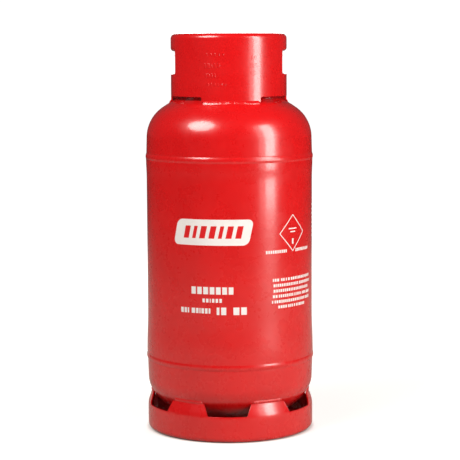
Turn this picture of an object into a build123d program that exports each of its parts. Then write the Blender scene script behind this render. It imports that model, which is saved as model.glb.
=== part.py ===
from build123d import *

import math
import os

# A steel propane cylinder of the 19 kg size: a welded pressure vessel with a valve shroud, a foot ring and a
# brass hand-wheel valve. Millimetres, +Z up. The origin is on the floor under the vessel's axis. The front
# faces -Y and the valve outlet +Y. Angles round the axis are measured from the front, positive towards +X.

# ---------------------------------------------------------------- driving dimensions
gap = 0.05  # left between pieces that only touch
weld_gap = 0.15  # left under a weld that lies on a domed end

# pressure vessel: two pressed ends and a rolled barrel
vessel_radius = 159.0
sheet = 3.0
upper_end_radius = 158.4
upper_tangent_z = 562.0
upper_knuckle_radius = 70.0
upper_crown_radius = 225.0
upper_edge_radius = 159.3
lower_end_radius = 159.0
lower_end_height = 88.0
lower_tangent_z = 101.0
lower_edge_radius = 160.2
upper_weld_z = 527.5
lower_weld_z = 141.0
weld_groove = 7.0  # from the barrel's edge to the pressed end's edge
upper_flare = 1.0  # how far each end of the barrel is swaged out
upper_flare_length = 42.0
lower_flare = 2.0
lower_flare_length = 92.0
joggle_step = 0.3  # play between the barrel and the lip that slides into it
joggle_length = 16.0
bead_rise = 0.5
seam_width = 7.0
seam_angle = 215.0

# foot ring
foot_radius = 160.0
foot_sheet = 2.5
foot_top_z = 71.0
foot_top_radius = 152.5
foot_shoulder_z = 49.5
foot_shoulder_bend = 45.0
foot_corner_bend = 9.0
foot_lip = 17.0
notch_count = 6
notch_turn = -2.0
notch_z = 49.0
notch_width = 74.5
notch_top_width = 88.0
notch_corner = 3.0
land_weld_arc = 24.0

# valve shroud
shroud_radius = 110.8
shroud_sheet = 3.0
shroud_top_z = 760.0
shroud_gap_z = 642.0  # lower edge of the wall between its feet
shroud_feet = 3
shroud_turn = 2.5
rim_bend = 10.0
rim_inner_bend = 6.5
rim_lip_radius = 93.8
rim_lip_z = 749.0
grip_bottom_z = 683.0
grip_arc = 48.0
grip_corner = 6.0
curl_z = 726.5  # underside of the edge that is curled in over each opening
curl_bend = 6.5
curl_lip = 2.0
curl_overlap_arc = 2.0
window_arc = 60.0

# valve boss
boss_radius = 28.0
boss_spigot_radius = 23.8
boss_spigot_z = 641.0
boss_seat_z = 658.7
boss_top_z = 668.0
taper_top_radius = 14.4
taper_slope = 0.06  # radius lost per millimetre of depth

# valve body
stem_bottom_z = boss_top_z - 22.0
wrench_flats = 32.0
wrench_z = (boss_top_z + 1.0, boss_top_z + 8.4)
neck_radius = 13.0
body_radius = 15.0
body_bottom_z = boss_top_z + 15.0
body_top_z = boss_top_z + 51.0
inlet_radius = 4.5
seat_z = boss_top_z + 23.0
seat_ring_radius = 6.2
chamber_radius = 8.95
bonnet_seat_z = boss_top_z + 42.0
bonnet_bore_radius = 10.5
outlet_z = boss_top_z + 28.0
outlet_boss_radius = 15.5
outlet_face_y = 42.0
outlet_bore_radius = 10.3
outlet_bore_depth = 18.0
outlet_passage_radius = 3.0
relief_z = boss_top_z + 20.0
relief_boss_radius = 11.0
relief_face_y = 39.0
relief_chamber_radius = 8.0
relief_chamber_y = 17.0
relief_seat_y = 18.0

# spindles, bonnet and handwheel
lift = 4.4
plug_radius = 8.75
plug_top_z = seat_z + 16.0
plug_thread_z = seat_z + 8.2
slot_width = 3.3
slot_bottom_z = plug_top_z - 6.8
holder_radius = 6.6
pad_radius = 5.4
pad_thickness = 3.0
pad_proud = 1.0
stem_radius = 5.0
collar_radius = 8.7
collar_z = (plug_top_z + lift + 0.8, plug_top_z + lift + 3.4)
tongue_width = 14.0
tongue_thickness = 2.9
bonnet_flats = 24.0
bonnet_top_z = body_top_z + 8.3
seal_z = (body_top_z + 1.2, body_top_z + 4.8)
seal_ring = 0.65
stem_bore_radius = 5.2
recess_radius = 9.0
recess_top_z = collar_z[1] + 1.8
square_flats = 7.0
stud_radius = 3.0
wheel_radius = 30.0
wheel_z = (bonnet_top_z + 2.7, bonnet_top_z + 14.7)
wheel_lobes = 7
hub_radius = 9.0
hub_top_z = wheel_z[1] - 3.0
nut_height = 5.0

# relief valve: distances from the vessel's axis, all along the front
relief_disc_radius = 5.2
relief_disc_y = (relief_seat_y + gap, relief_seat_y + 2.0)
poppet_flats = 13.4
poppet_y = (relief_seat_y + 0.6, relief_seat_y + 6.0)
poppet_stem_y = relief_seat_y + 11.5
spring_radius = 4.9
spring_wire = 1.2
spring_turns = 4
relief_cap_y = (34.0, 38.4)
dust_cap_radius = 12.4
dust_cap_y = (35.0, 41.2)


# ---------------------------------------------------------------- helpers
def outward(angle):
    """Level unit vector that points away from the axis at this angle."""
    turn = math.radians(angle)
    return Vector(math.sin(turn), -math.cos(turn), 0)


def sideways(angle):
    """Level unit vector at right angles to outward(angle), the way angles grow."""
    return outward(angle + 90)


def upright_section(angle):
    """Plane through the vessel's axis: its X is the radius at this angle and its Y is the height."""
    return Plane(origin=(0, 0, 0), x_dir=outward(angle), z_dir=-sideways(angle))


def facing(angle, distance=0.0, height=0.0):
    """Plane square to the radius at this angle, seen from outside: X sideways, Y up, normal outwards."""
    return Plane(
        origin=outward(angle) * distance + Vector(0, 0, height), x_dir=sideways(angle), z_dir=outward(angle)
    )


def level_section(angle, height):
    """Plane through a level axis at this height: its X is the height above it, its Y the distance out."""
    return Plane(origin=(0, 0, height), x_dir=(0, 0, 1), z_dir=sideways(angle))


def turn_upright(*points, mode=Mode.ADD):
    """Revolves an outline of (radius, height) points round the vessel's axis."""
    with BuildSketch(upright_section(0)) as outline:
        with BuildLine():
            Polyline(*points, close=True)
        make_face()
    revolve(outline.sketch, axis=Axis.Z, mode=mode)


def turn_level(angle, height, *points, mode=Mode.ADD):
    """Revolves an outline of (radius, distance out) points round the level axis at this angle and height."""
    with BuildSketch(level_section(angle, height)) as outline:
        with BuildLine():
            Polyline(*points, close=True)
        make_face()
    revolve(outline.sketch, axis=Axis((0, 0, height), outward(angle)), mode=mode)


upper_knuckle_r = upper_end_radius - upper_knuckle_radius
upper_crown_z = upper_tangent_z - math.sqrt(
    (upper_crown_radius - upper_knuckle_radius) ** 2 - upper_knuckle_r**2
)


def upper_end_z(radius):
    """Height of the upper end's outer face at this radius: its crown is part of a sphere, its knuckle an arc."""
    crown_edge = upper_crown_radius * upper_knuckle_r / (upper_crown_radius - upper_knuckle_radius)
    if radius < crown_edge:
        return upper_crown_z + math.sqrt(upper_crown_radius**2 - radius**2)
    return upper_tangent_z + math.sqrt(upper_knuckle_radius**2 - (radius - upper_knuckle_r) ** 2)


def lower_end_r(height):
    """Radius of the lower end's outer face at this height."""
    return lower_end_radius * math.sqrt(1 - ((lower_tangent_z - height) / lower_end_height) ** 2)


def straight_seam(wall_radius, angle, bottom_z, top_z):
    """A low welded bead that runs straight up a round wall."""
    half = seam_width / 2
    inner = wall_radius + gap
    edge_y = -math.sqrt(inner**2 - half**2)
    base = Plane(origin=(0, 0, bottom_z), x_dir=sideways(angle), z_dir=(0, 0, 1))
    with BuildSketch(base) as bead:
        with BuildLine():
            ThreePointArc((-half, edge_y), (0, -inner), (half, edge_y))
            ThreePointArc((-half, edge_y), (0, -inner - 2 * bead_rise), (half, edge_y))
        make_face()
    extrude(bead.sketch, amount=top_z - bottom_z)


def girth_bead(barrel_point, edge_point, lip_point):
    """Section of a girth weld: it fills the groove behind it and lies over both edges in a low crown."""
    up = math.copysign(1, edge_point[1] - barrel_point[1])
    over = up * 2.0
    root_z = barrel_point[1] + up
    root_share = (root_z - lip_point[1]) / (edge_point[1] - lip_point[1])
    root_radius = lip_point[0] + root_share * (edge_point[0] - lip_point[0]) + 2 * gap
    barrel_radius = barrel_point[0] + gap
    edge_radius = edge_point[0] + gap
    crown_radius = max(barrel_radius, edge_radius) + bead_rise
    crown_z = (barrel_point[1] + edge_point[1]) / 2
    foot = (barrel_radius, barrel_point[1] - over)
    toe = (edge_radius, edge_point[1] + over)
    with BuildSketch(upright_section(0)) as bead:
        with BuildLine():
            ThreePointArc(foot, (crown_radius, crown_z), toe)
            Polyline(
                toe,
                (edge_radius, edge_point[1]),
                (root_radius, root_z),
                (root_radius, barrel_point[1] + up * gap),
                (barrel_radius, barrel_point[1] + up * gap),
                foot,
            )
        make_face()
    revolve(bead.sketch, axis=Axis.Z)


def save(piece, name):
    """Labels a finished piece and writes its STEP file."""
    piece.part.label = name
    export_step(piece.part, f"parts/{name}.step")


os.makedirs("parts", exist_ok=True)

# ---------------------------------------------------------------- barrel: swaged out a little at both ends
barrel_bottom = (vessel_radius + lower_flare, lower_weld_z + weld_groove / 2)
barrel_top = (vessel_radius + upper_flare, upper_weld_z - weld_groove / 2)
lower_flare_end_z = barrel_bottom[1] + lower_flare_length
upper_flare_end_z = barrel_top[1] - upper_flare_length

with BuildPart() as barrel:
    with BuildSketch(upright_section(0)):
        with BuildLine():
            walls = []
            for inset in (0, sheet):
                radius = vessel_radius - inset
                lower_middle_z = (barrel_bottom[1] + lower_flare_end_z) / 2
                upper_middle_z = (barrel_top[1] + upper_flare_end_z) / 2
                lower = Bezier(
                    (barrel_bottom[0] - inset, barrel_bottom[1]),
                    (barrel_bottom[0] - inset, lower_middle_z),
                    (radius, lower_middle_z),
                    (radius, lower_flare_end_z),
                )
                Line(lower @ 1, (radius, upper_flare_end_z))
                upper = Bezier(
                    (radius, upper_flare_end_z),
                    (radius, upper_middle_z),
                    (barrel_top[0] - inset, upper_middle_z),
                    (barrel_top[0] - inset, barrel_top[1]),
                )
                walls.append((lower @ 0, upper @ 1))
            Line(walls[0][0], walls[1][0])
            Line(walls[0][1], walls[1][1])
        make_face()
    revolve(axis=Axis.Z)
save(barrel, "barrel")

# ---------------------------------------------------------------- pressed ends: half an ellipse and a stepped lip
upper_edge = (upper_edge_radius, upper_weld_z + weld_groove / 2)
upper_lip = (barrel_top[0] - sheet - joggle_step, barrel_top[1])
lower_edge = (lower_edge_radius, lower_weld_z - weld_groove / 2)
lower_lip = (barrel_bottom[0] - sheet - joggle_step, barrel_bottom[1])


def dished_crown(inset):
    """Knuckle and crown of the upper end: two arcs that run on from each other."""
    edge_angle = math.degrees(math.atan2(upper_tangent_z - upper_crown_z, upper_knuckle_r))
    knuckle = CenterArc((upper_knuckle_r, upper_tangent_z), upper_knuckle_radius - inset, 0, edge_angle)
    crown = CenterArc((0, upper_crown_z), upper_crown_radius - inset, edge_angle, 90 - edge_angle)
    return knuckle @ 0, crown @ 1


def elliptical_crown(inset):
    """Half an ellipse, for the lower end."""
    crown = EllipticalCenterArc(
        (0, lower_tangent_z), lower_end_radius - inset, lower_end_height - inset, -90, arc_size=90
    )
    return crown @ 1, crown @ 0


def pressed_end(crown, up, edge, lip):
    """A domed end with a stepped lip. Its crown points up (1) or down (-1)."""
    with BuildSketch(upright_section(0)) as shell:
        with BuildLine():
            skins = []
            for inset in (0, sheet):
                rim, pole = crown(inset)
                skirt = Polyline(
                    rim,
                    (edge[0] - inset, edge[1]),
                    (lip[0] - inset, lip[1] + up * inset / 6),
                    (lip[0] - inset, lip[1] - up * joggle_length),
                )
                skins.append((pole, skirt @ 1))
            Line(skins[0][0], skins[1][0])
            Line(skins[0][1], skins[1][1])
        make_face()
    revolve(shell.sketch, axis=Axis.Z)


with BuildPart() as upper_end:
    pressed_end(dished_crown, 1, upper_edge, upper_lip)
    with Locations((0, 0, boss_seat_z)):
        Cylinder(boss_spigot_radius + gap, 40, mode=Mode.SUBTRACT)
save(upper_end, "upper_end")

with BuildPart() as lower_end:
    pressed_end(elliptical_crown, -1, lower_edge, lower_lip)
save(lower_end, "lower_end")

# ---------------------------------------------------------------- welds of the vessel
with BuildPart() as upper_girth_weld:
    girth_bead(barrel_top, upper_edge, upper_lip)
save(upper_girth_weld, "upper_girth_weld")

with BuildPart() as lower_girth_weld:
    girth_bead(barrel_bottom, lower_edge, lower_lip)
save(lower_girth_weld, "lower_girth_weld")

with BuildPart() as barrel_seam_weld:
    straight_seam(vessel_radius, seam_angle, lower_flare_end_z, upper_flare_end_z)
save(barrel_seam_weld, "barrel_seam_weld")

# ---------------------------------------------------------------- foot ring: rolled band with an inturned foot
with BuildPart() as foot_ring:
    with BuildSketch(upright_section(0)):
        with BuildLine():
            band = FilletPolyline(
                (foot_top_radius, foot_top_z),
                (foot_radius, foot_shoulder_z),
                (foot_radius, 0),
                (foot_radius - foot_lip, 0),
                radius=(foot_shoulder_bend, foot_corner_bend),
            )
            offset(band, amount=foot_sheet, side=Side.RIGHT)
        make_face()
    revolve(axis=Axis.Z)
    notch_planes = [facing(notch_turn + 360 / notch_count * k, foot_radius - 35) for k in range(notch_count)]
    notch_slope = (notch_top_width - notch_width) / 2 / (foot_top_z - notch_z)
    notch_rise = 30.0
    with BuildSketch(*notch_planes):
        with BuildLine():
            Polyline(
                (-notch_width / 2, notch_z),
                (notch_width / 2, notch_z),
                (notch_width / 2 + notch_slope * notch_rise, notch_z + notch_rise),
                (-notch_width / 2 - notch_slope * notch_rise, notch_z + notch_rise),
                close=True,
            )
        make_face()
    extrude(amount=45, mode=Mode.SUBTRACT)
    notch_floor_corners = foot_ring.edges().filter_by(
        lambda edge: abs(edge.center().Z - notch_z) < 0.01 and edge.length < 4
    )
    fillet(notch_floor_corners, notch_corner)
save(foot_ring, "foot_ring")

with BuildPart() as foot_ring_welds:
    weld_toe_z = foot_top_z + 5.0
    for k in range(notch_count):
        land_angle = notch_turn + 360 / notch_count * (k + 0.5)
        with BuildSketch(upright_section(land_angle - land_weld_arc / 2)) as land_bead:
            with BuildLine():
                Polyline(
                    (foot_top_radius - foot_sheet + 0.3, foot_top_z + 2 * gap),
                    (foot_top_radius, foot_top_z + 2 * gap),
                    (lower_end_r(weld_toe_z) + 2 * weld_gap, weld_toe_z),
                    close=True,
                )
            make_face()
        revolve(land_bead.sketch, axis=Axis.Z, revolution_arc=land_weld_arc)
save(foot_ring_welds, "foot_ring_welds")

with BuildPart() as foot_ring_seam_weld:
    straight_seam(foot_radius, notch_turn + 180, foot_corner_bend + 1, notch_z - 12)
save(foot_ring_seam_weld, "foot_ring_seam_weld")

# ---------------------------------------------------------------- valve shroud
shroud_foot_z = upper_end_z(shroud_radius - shroud_sheet) + weld_gap
window_width = 2 * shroud_radius * math.sin(math.radians(window_arc / 2))
grip_width = 2 * shroud_radius * math.sin(math.radians(grip_arc / 2))
curl_top_z = curl_z + curl_bend
opening_top_z = curl_top_z + 0.5
window_angles = [shroud_turn + 360 / shroud_feet * (k + 0.5) for k in range(shroud_feet)]
rear_window_angle = window_angles[shroud_feet // 2]

with BuildPart() as valve_shroud:
    with BuildSketch(upright_section(0)):
        with BuildLine():
            band = FilletPolyline(
                (shroud_radius, shroud_foot_z),
                (shroud_radius, shroud_top_z),
                (rim_lip_radius, shroud_top_z),
                (rim_lip_radius, rim_lip_z),
                radius=(rim_bend, rim_inner_bend),
            )
            offset(band, amount=shroud_sheet, side=Side.LEFT)
        make_face()
    revolve(axis=Axis.Z)
    cutter_distance = shroud_radius - 30
    # the wall stands on three feet, clear of the dome between them
    with BuildSketch(*[facing(angle, cutter_distance) for angle in window_angles]):
        with Locations((0, shroud_gap_z - 10)):
            Rectangle(window_width, 20)
    extrude(amount=40, mode=Mode.SUBTRACT)
    # the gap at the rear goes up to the rim, so that a regulator can reach the valve
    with BuildSketch(facing(rear_window_angle, cutter_distance)):
        with Locations((0, (shroud_gap_z + opening_top_z) / 2 - 5)):
            Rectangle(window_width, opening_top_z - shroud_gap_z + 10)
    extrude(amount=40, mode=Mode.SUBTRACT)
    # a hand-hold at each side
    with BuildSketch(facing(90, cutter_distance), facing(270, cutter_distance)):
        with Locations((0, (grip_bottom_z + opening_top_z) / 2)):
            RectangleRounded(grip_width, opening_top_z - grip_bottom_z, grip_corner)
    extrude(amount=40, mode=Mode.SUBTRACT)
    # the edge over each opening is curled in, and the curl dies out behind the wall at both ends
    curl_radius = shroud_radius - gap
    for angle, arc in ((90, grip_arc), (rear_window_angle, window_arc), (270, grip_arc)):
        with BuildSketch(upright_section(angle - arc / 2 - curl_overlap_arc)) as curl:
            with BuildLine():
                edge = FilletPolyline(
                    (curl_radius, curl_top_z + curl_bend),
                    (curl_radius, curl_z),
                    (curl_radius - curl_bend - curl_lip, curl_z),
                    radius=curl_bend,
                )
                offset(edge, amount=shroud_sheet, side=Side.RIGHT)
            make_face()
        revolve(curl.sketch, axis=Axis.Z, revolution_arc=arc + 2 * curl_overlap_arc)
save(valve_shroud, "valve_shroud")

with BuildPart() as shroud_foot_welds:
    foot_arc = 360 / shroud_feet - window_arc - 2.0
    bead_inner = shroud_radius + gap
    bead_outer = shroud_radius + 4.0
    for k in range(shroud_feet):
        with BuildSketch(upright_section(shroud_turn + 360 / shroud_feet * k - foot_arc / 2)) as foot_bead:
            with BuildLine():
                Polyline(
                    (bead_inner, upper_end_z(bead_inner) + weld_gap),
                    (bead_inner, upper_end_z(bead_inner) + weld_gap + 4.0),
                    (bead_outer, upper_end_z(bead_outer) + weld_gap),
                    close=True,
                )
            make_face()
        revolve(foot_bead.sketch, axis=Axis.Z, revolution_arc=foot_arc)
save(shroud_foot_welds, "shroud_foot_welds")

with BuildPart() as shroud_seam_weld:
    straight_seam(shroud_radius, rear_window_angle, curl_top_z + 2, shroud_top_z - rim_bend)
save(shroud_seam_weld, "shroud_seam_weld")

# ---------------------------------------------------------------- valve boss, welded into the upper end
with BuildPart() as valve_boss:
    bore_bottom_radius = taper_top_radius - taper_slope * (boss_top_z - boss_spigot_z)
    turn_upright(
        (bore_bottom_radius, boss_spigot_z),
        (boss_spigot_radius, boss_spigot_z),
        (boss_spigot_radius, boss_seat_z),
        (boss_radius, boss_seat_z),
        (boss_radius, boss_top_z - 1.5),
        (boss_radius - 1.5, boss_top_z),
        (taper_top_radius, boss_top_z),
    )
save(valve_boss, "valve_boss")

with BuildPart() as boss_weld:
    weld_leg = 7.0
    turn_upright(
        (boss_radius + gap, upper_end_z(boss_radius) + weld_gap),
        (boss_radius + gap, upper_end_z(boss_radius) + weld_leg),
        (boss_radius + weld_leg, upper_end_z(boss_radius + weld_leg) + weld_gap),
    )
save(boss_weld, "boss_weld")

# ---------------------------------------------------------------- valve body: brass forging, bored four ways
with BuildPart() as valve_body:
    stem_top_radius = taper_top_radius - gap
    turn_upright(
        (0, stem_bottom_z),
        (stem_top_radius - taper_slope * (boss_top_z - stem_bottom_z), stem_bottom_z),
        (stem_top_radius, boss_top_z),
        (neck_radius, wrench_z[0]),
        (neck_radius, body_bottom_z - (body_radius - neck_radius)),
        (body_radius, body_bottom_z),
        (body_radius, body_top_z - 1),
        (body_radius - 1, body_top_z),
        (0, body_top_z),
    )
    with BuildSketch(Plane.XY.offset(wrench_z[0])):
        RegularPolygon(wrench_flats / 2, 6, major_radius=False, rotation=30)
    extrude(amount=wrench_z[1] - wrench_z[0])
    for angle, height, radius, face_y, bevel in (
        (180, outlet_z, outlet_boss_radius, outlet_face_y, 1.2),
        (0, relief_z, relief_boss_radius, relief_face_y, 0.6),
    ):
        turn_level(
            angle, height, (0, 0), (radius, 0), (radius, face_y - bevel), (radius - bevel, face_y), (0, face_y)
        )
    # inlet, seat, chamber and counterbore
    turn_upright(
        (0, stem_bottom_z - 1),
        (inlet_radius, stem_bottom_z - 1),
        (inlet_radius, seat_z),
        (seat_ring_radius, seat_z),
        (seat_ring_radius, seat_z - 1),
        (chamber_radius, seat_z - 1),
        (chamber_radius, bonnet_seat_z),
        (bonnet_bore_radius, bonnet_seat_z),
        (bonnet_bore_radius, body_top_z + 1),
        (0, body_top_z + 1),
        mode=Mode.SUBTRACT,
    )
    # outlet: passage, cone for the regulator's nipple, and threaded bore
    outlet_bore_y = outlet_face_y - outlet_bore_depth
    turn_level(
        180,
        outlet_z,
        (0, 0),
        (outlet_passage_radius, 0),
        (outlet_passage_radius, outlet_bore_y - 8),
        (outlet_bore_radius - 2.8, outlet_bore_y),
        (outlet_bore_radius, outlet_bore_y),
        (outlet_bore_radius, outlet_face_y - 1),
        (outlet_bore_radius + 1.2, outlet_face_y + 0.2),
        (0, outlet_face_y + 0.2),
        mode=Mode.SUBTRACT,
    )
    # relief: passage, raised nozzle and spring chamber
    turn_level(
        0,
        relief_z,
        (0, 0),
        (1.6, 0),
        (1.6, relief_chamber_y - 2),
        (3.5, relief_chamber_y - 2),
        (3.5, relief_seat_y),
        (5.0, relief_seat_y),
        (5.0, relief_chamber_y),
        (relief_chamber_radius, relief_chamber_y),
        (relief_chamber_radius, relief_face_y + 1),
        (0, relief_face_y + 1),
        mode=Mode.SUBTRACT,
    )
save(valve_body, "valve_body")

# ---------------------------------------------------------------- lower spindle and its seat pad
pad_bottom_z = seat_z + gap
pad_top_z = pad_bottom_z + pad_thickness

with BuildPart() as lower_spindle:
    turn_upright(
        (0, pad_top_z + gap),
        (pad_radius + gap, pad_top_z + gap),
        (pad_radius + gap, pad_bottom_z + pad_proud),
        (holder_radius, pad_bottom_z + pad_proud),
        (holder_radius, plug_thread_z),
        (plug_radius, plug_thread_z),
        (plug_radius, plug_top_z - 0.6),
        (plug_radius - 0.6, plug_top_z),
        (0, plug_top_z),
    )
    with BuildSketch(Plane.XY.offset(slot_bottom_z)):
        Rectangle(3 * plug_radius, slot_width)
    extrude(amount=lift + 5, mode=Mode.SUBTRACT)
save(lower_spindle, "lower_spindle")

with BuildPart() as seat_pad:
    with Locations((0, 0, pad_bottom_z)):
        Cylinder(pad_radius, pad_thickness, align=(Align.CENTER, Align.CENTER, Align.MIN))
save(seat_pad, "seat_pad")

# ---------------------------------------------------------------- upper spindle
hub_washer_z = (hub_top_z + gap, hub_top_z + 1.05)
wheel_nut_z = (hub_washer_z[1] + gap, hub_washer_z[1] + gap + nut_height)
stud_top_z = wheel_nut_z[1] + 2.0

with BuildPart() as upper_spindle:
    turn_upright(
        (0, collar_z[0]),
        (collar_radius, collar_z[0]),
        (collar_radius, collar_z[1]),
        (stem_radius, collar_z[1]),
        (stem_radius, wheel_z[0] - 0.5),
        (0, wheel_z[0] - 0.5),
    )
    tongue_bottom_z = slot_bottom_z + lift + 0.3
    with Locations((0, 0, tongue_bottom_z)):
        Box(
            tongue_width,
            tongue_thickness,
            collar_z[0] - tongue_bottom_z,
            align=(Align.CENTER, Align.CENTER, Align.MIN),
        )
    with BuildSketch(Plane.XY.offset(wheel_z[0] - 0.5)):
        Rectangle(square_flats, square_flats)
    extrude(amount=hub_top_z - wheel_z[0])
    with Locations((0, 0, hub_top_z - 0.5)):
        Cylinder(
            stud_radius, stud_top_z - hub_top_z + 0.5, align=(Align.CENTER, Align.CENTER, Align.MIN)
        )
    chamfer(upper_spindle.edges().group_by(Axis.Z)[-1], 0.6)
save(upper_spindle, "upper_spindle")

# ---------------------------------------------------------------- bonnet, which holds the upper spindle down
with BuildPart() as bonnet:
    groove_half = seal_ring + 0.2
    groove_radius = stem_bore_radius + 2 * seal_ring + 0.15
    bore_steps = [(stem_bore_radius, recess_top_z)]
    for ring_z in seal_z:
        bore_steps += [
            (stem_bore_radius, ring_z - groove_half),
            (groove_radius, ring_z - groove_half),
            (groove_radius, ring_z + groove_half),
            (stem_bore_radius, ring_z + groove_half),
        ]
    turn_upright(
        (bonnet_bore_radius - 0.1, bonnet_seat_z + gap),
        (bonnet_bore_radius - 0.1, bonnet_top_z),
        (stem_bore_radius, bonnet_top_z),
        *reversed(bore_steps),
        (recess_radius, recess_top_z),
        (recess_radius, bonnet_seat_z + gap),
    )
    with BuildSketch(Plane.XY.offset(body_top_z + 0.2)):
        RegularPolygon(bonnet_flats / 2, 6, major_radius=False)
        Circle(bonnet_bore_radius - 1.0, mode=Mode.SUBTRACT)
    extrude(amount=bonnet_top_z - body_top_z - 0.2)
save(bonnet, "bonnet")

with BuildPart() as spindle_washer:
    with BuildSketch(Plane.XY.offset(collar_z[1] + gap)):
        Circle(collar_radius - 0.6)
        Circle(stem_radius + 0.15, mode=Mode.SUBTRACT)
    extrude(amount=recess_top_z - collar_z[1] - 2 * gap)
save(spindle_washer, "spindle_washer")

with BuildPart() as spindle_seals:
    with BuildSketch(upright_section(0)):
        with Locations(*[(stem_radius + 0.12 + seal_ring, ring_z) for ring_z in seal_z]):
            Circle(seal_ring)
    revolve(axis=Axis.Z)
save(spindle_seals, "spindle_seals")

# ---------------------------------------------------------------- handwheel with its washer and nut
with BuildPart() as handwheel:
    finger_radius = 8.0
    with BuildSketch(Plane.XY.offset(wheel_z[0])) as wheel_outline:
        Circle(wheel_radius)
        with PolarLocations(wheel_radius + 4.6, wheel_lobes):
            Circle(finger_radius, mode=Mode.SUBTRACT)
        fillet(wheel_outline.vertices(), 3.0)
    extrude(amount=wheel_z[1] - wheel_z[0])
    fillet(handwheel.faces().filter_by(Axis.Z).edges(), 2.0)
    # dished above and below the web, with the hub left standing
    dish_radius = 21.5
    for dish_z, dish_depth in ((wheel_z[1], -4.0), (wheel_z[0], 3.0)):
        with BuildSketch(Plane.XY.offset(dish_z)):
            Circle(dish_radius)
            Circle(hub_radius, mode=Mode.SUBTRACT)
        extrude(amount=dish_depth, mode=Mode.SUBTRACT)
    with BuildSketch(Plane.XY.offset(hub_top_z)):
        Circle(hub_radius + gap)
    extrude(amount=10, mode=Mode.SUBTRACT)
    # holes between the spokes, and the square for the spindle
    with BuildSketch(Plane.XY.offset(wheel_z[0])):
        with PolarLocations(15.2, wheel_lobes):
            Circle(3.4)
        Rectangle(square_flats + 0.1, square_flats + 0.1)
    extrude(amount=wheel_z[1] - wheel_z[0], mode=Mode.SUBTRACT)
save(handwheel, "handwheel")

with BuildPart() as handwheel_washer:
    with BuildSketch(Plane.XY.offset(hub_washer_z[0])):
        Circle(6.2)
        Circle(stud_radius + 0.2, mode=Mode.SUBTRACT)
    extrude(amount=hub_washer_z[1] - hub_washer_z[0])
save(handwheel_washer, "handwheel_washer")

with BuildPart() as handwheel_nut:
    with BuildSketch(Plane.XY.offset(wheel_nut_z[0])):
        RegularPolygon(5.0, 6, major_radius=False)
        Circle(stud_radius + gap, mode=Mode.SUBTRACT)
    extrude(amount=nut_height)
    corner_cut = 0.7
    turn_upright(
        (5.0, wheel_nut_z[1] + 1),
        (5.1, wheel_nut_z[1]),
        (5.1 + corner_cut, wheel_nut_z[1] - corner_cut / 2),
        (8, wheel_nut_z[1] - corner_cut / 2),
        (8, wheel_nut_z[1] + 1),
        mode=Mode.SUBTRACT,
    )
save(handwheel_nut, "handwheel_nut")

# ---------------------------------------------------------------- relief valve
with BuildPart() as relief_poppet:
    with BuildSketch(facing(0, poppet_y[0], relief_z)):
        RegularPolygon(poppet_flats / 2, 6, major_radius=False)
    extrude(amount=poppet_y[1] - poppet_y[0])
    with BuildSketch(facing(0, poppet_y[1], relief_z)):
        Circle(2.6)
    extrude(amount=poppet_stem_y - poppet_y[1])
    with BuildSketch(facing(0, poppet_y[0], relief_z)):
        Circle(relief_disc_radius + gap)
    extrude(amount=relief_disc_y[1] + gap - poppet_y[0], mode=Mode.SUBTRACT)
save(relief_poppet, "relief_poppet")

with BuildPart() as relief_disc:
    with BuildSketch(facing(0, relief_disc_y[0], relief_z)):
        Circle(relief_disc_radius)
    extrude(amount=relief_disc_y[1] - relief_disc_y[0])
save(relief_disc, "relief_disc")

with BuildPart() as relief_spring:
    coil_start_y = poppet_y[1] + spring_wire / 2 + 2 * gap
    coil_end_y = relief_cap_y[0] - spring_wire / 2 - 2 * gap
    with BuildLine() as coil:
        Helix(
            pitch=(coil_end_y - coil_start_y) / spring_turns,
            height=coil_end_y - coil_start_y,
            radius=spring_radius,
            center=(0, -coil_start_y, relief_z),
            direction=(0, -1, 0),
        )
    with BuildSketch(Plane(origin=coil.line @ 0, z_dir=coil.line % 0)):
        Circle(spring_wire / 2)
    sweep(is_frenet=True)
save(relief_spring, "relief_spring")

with BuildPart() as relief_cap:
    with BuildSketch(facing(0, relief_cap_y[0], relief_z)):
        Circle(relief_chamber_radius - gap)
        RegularPolygon(3.0, 6, major_radius=False, mode=Mode.SUBTRACT)
    extrude(amount=relief_cap_y[1] - relief_cap_y[0])
save(relief_cap, "relief_cap")

with BuildPart() as relief_dust_cap:
    turn_level(
        0,
        relief_z,
        (relief_boss_radius + gap, dust_cap_y[0]),
        (dust_cap_radius, dust_cap_y[0]),
        (dust_cap_radius, dust_cap_y[1] - 1),
        (dust_cap_radius - 1, dust_cap_y[1]),
        (0, dust_cap_y[1]),
        (0, relief_face_y + gap),
        (relief_boss_radius + gap, relief_face_y + gap),
    )
save(relief_dust_cap, "relief_dust_cap")
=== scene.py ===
"""Looks of a red 19 kg propane cylinder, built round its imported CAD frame.

Shapes are worked out with numpy in millimetres, in the frame's axes: +Z up, the front at -Y. Angles round the
vessel are degrees from the front, positive towards +X. Meshes are written in metres.
"""

import math

import bmesh
import bpy
import numpy as np
from mathutils import Matrix, Vector


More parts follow.
